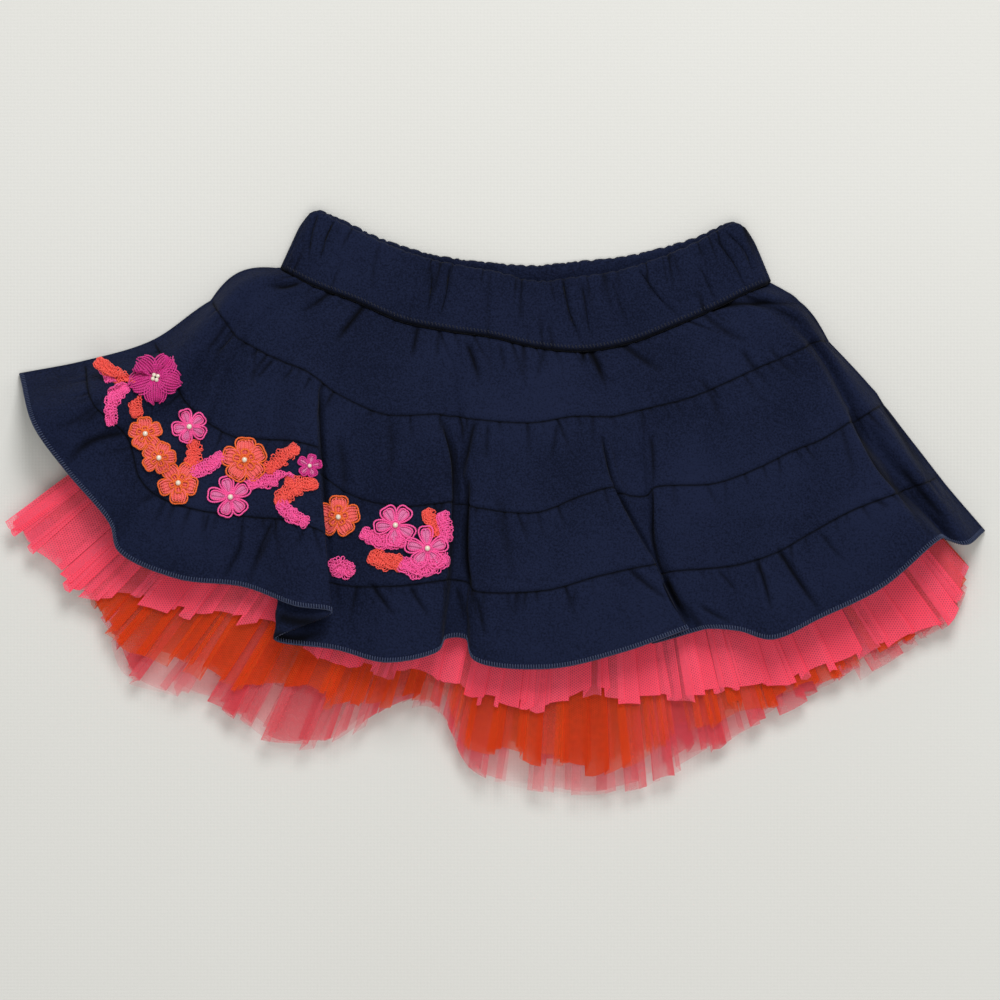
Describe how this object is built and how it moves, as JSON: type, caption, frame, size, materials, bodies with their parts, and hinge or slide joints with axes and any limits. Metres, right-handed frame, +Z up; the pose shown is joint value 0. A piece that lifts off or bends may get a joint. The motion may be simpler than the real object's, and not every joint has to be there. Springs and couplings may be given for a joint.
{
  "type": "tutu skirt",
  "caption": "Child's tutu skirt laid flat: gathered elastic waistband, tiered navy crepe and pleated pink and orange tulle showing below the hem, with a lace flower spray",
  "frame": {"origin": "on the floor under the middle of the laid-out skirt's outline", "axes": "+X runs along the waistband to the viewer's right, +Y runs from the hem to the waistband, +Z is up out of the surface"},
  "size_m": [0.4668, 0.283, 0.0385],
  "materials": {
    "navy_crepe": "dark navy crepe, matt with a faint grain",
    "tulle_coral_pink": "coral pink net, see-through",
    "tulle_orange": "orange net, see-through",
    "tulle_pale_pink": "pale pink net, see-through",
    "lace_magenta": "magenta looped thread lace, satin",
    "lace_pink": "hot pink looped thread lace, satin",
    "lace_orange": "orange looped thread lace, satin",
    "lace_coral": "coral looped thread lace, satin"
  },
  "bodies": {
    "root": {"waistband_front": "navy_crepe", "waistband_back": "navy_crepe", "tier_1_front": "navy_crepe", "tier_1_back": "navy_crepe", "tier_2_front": "navy_crepe", "tier_2_back": "navy_crepe", "tier_3_front": "navy_crepe", "tier_3_back": "navy_crepe", "tier_4_front": "navy_crepe", "tier_4_back": "navy_crepe", "tulle_upper_front": "tulle_coral_pink", "tulle_upper_back": "tulle_coral_pink", "tulle_middle_front": "tulle_orange", "tulle_middle_back": "tulle_orange", "tulle_under_front": "tulle_pale_pink", "tulle_under_back": "tulle_pale_pink", "flower_1": "lace_magenta", "flower_2": "lace_pink", "flower_3": "lace_orange", "flower_4": "lace_orange", "flower_5": "lace_orange", "flower_6": "lace_orange", "flower_7": "lace_pink", "flower_8": "lace_pink", "flower_9": "lace_orange", "flower_10": "lace_pink", "flower_11": "lace_pink", "sprig_1": "lace_coral", "sprig_2": "lace_pink", "sprig_3": "lace_coral", "sprig_4": "lace_coral", "sprig_5": "lace_pink", "sprig_6": "lace_coral", "sprig_7": "lace_pink", "sprig_8": "lace_pink", "sprig_9": "lace_pink", "sprig_10": "lace_coral", "sprig_11": "lace_coral"}
  },
  "joints": []
}
